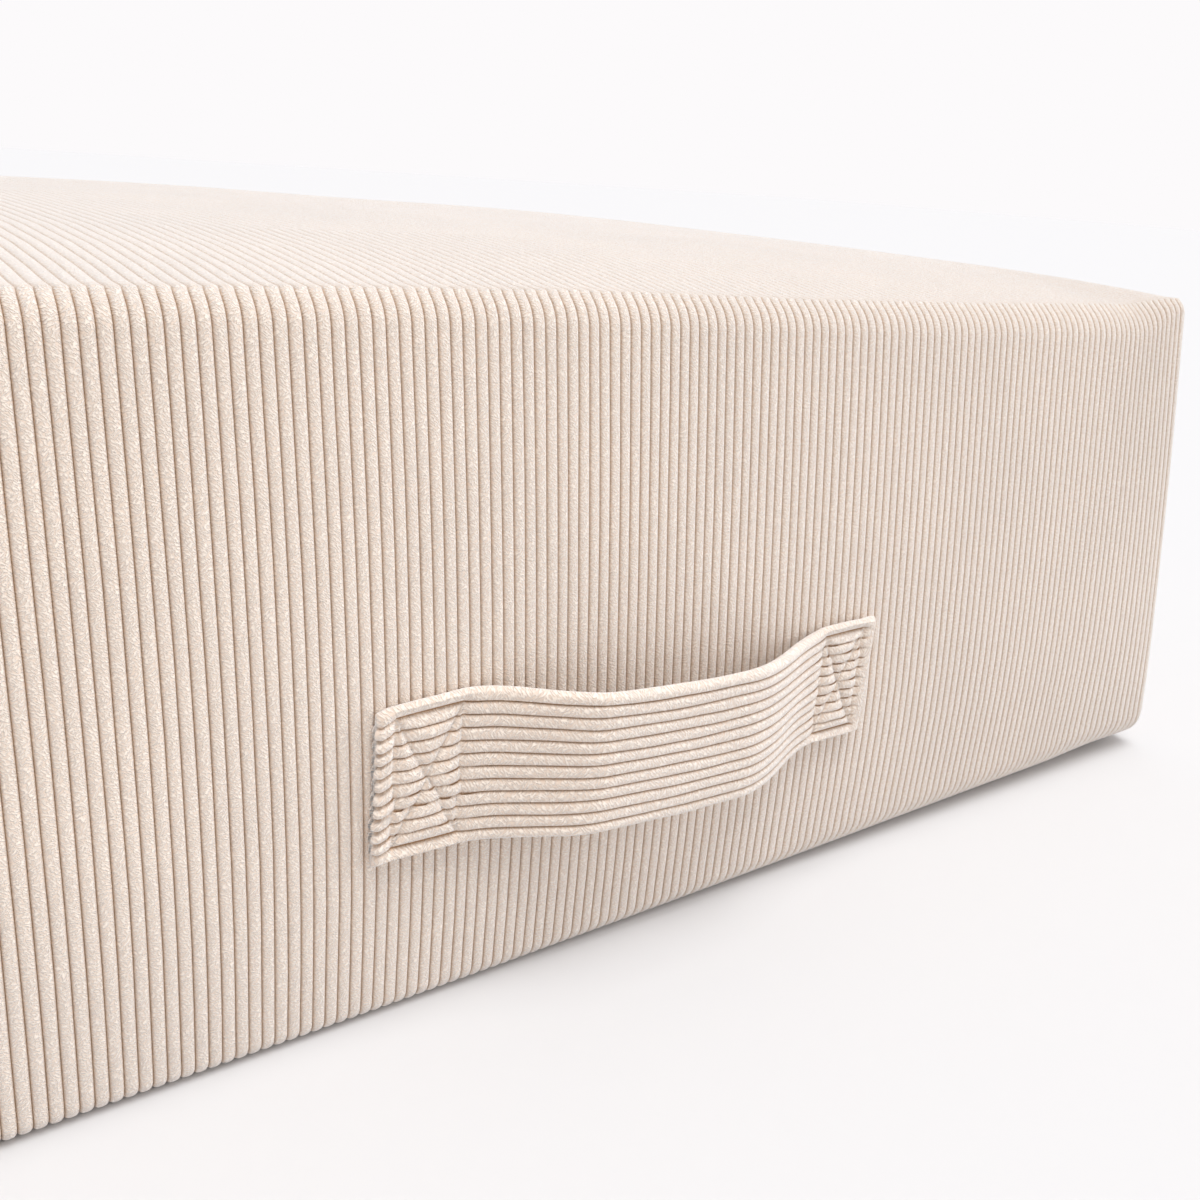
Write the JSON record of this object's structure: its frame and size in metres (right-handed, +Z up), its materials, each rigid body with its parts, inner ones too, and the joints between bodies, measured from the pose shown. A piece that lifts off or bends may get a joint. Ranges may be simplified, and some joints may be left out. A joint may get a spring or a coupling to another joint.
{
  "type": "jumping cushion",
  "caption": "Firm filled block cushion covered in wide-wale corduroy, with a crowned top, rounded edges and a sewn-on carry handle on its front face.",
  "frame": {"origin": "centre of the cushion's flat base, on the surface it rests on", "axes": "+X along the front face, +Y from the front face with the handle to the back, +Z up"},
  "size_m": [0.6168, 0.6217, 0.221],
  "materials": {
    "cushion_corduroy": "matt wide-wale cotton corduroy, cream, ribs 3.8 mm apart",
    "handle_corduroy": "matt wide-wale cotton corduroy, cream, ribs along the strap"
  },
  "bodies": {
    "root": {"cushion": "cushion_corduroy", "carry_handle": "handle_corduroy"}
  },
  "joints": []
}
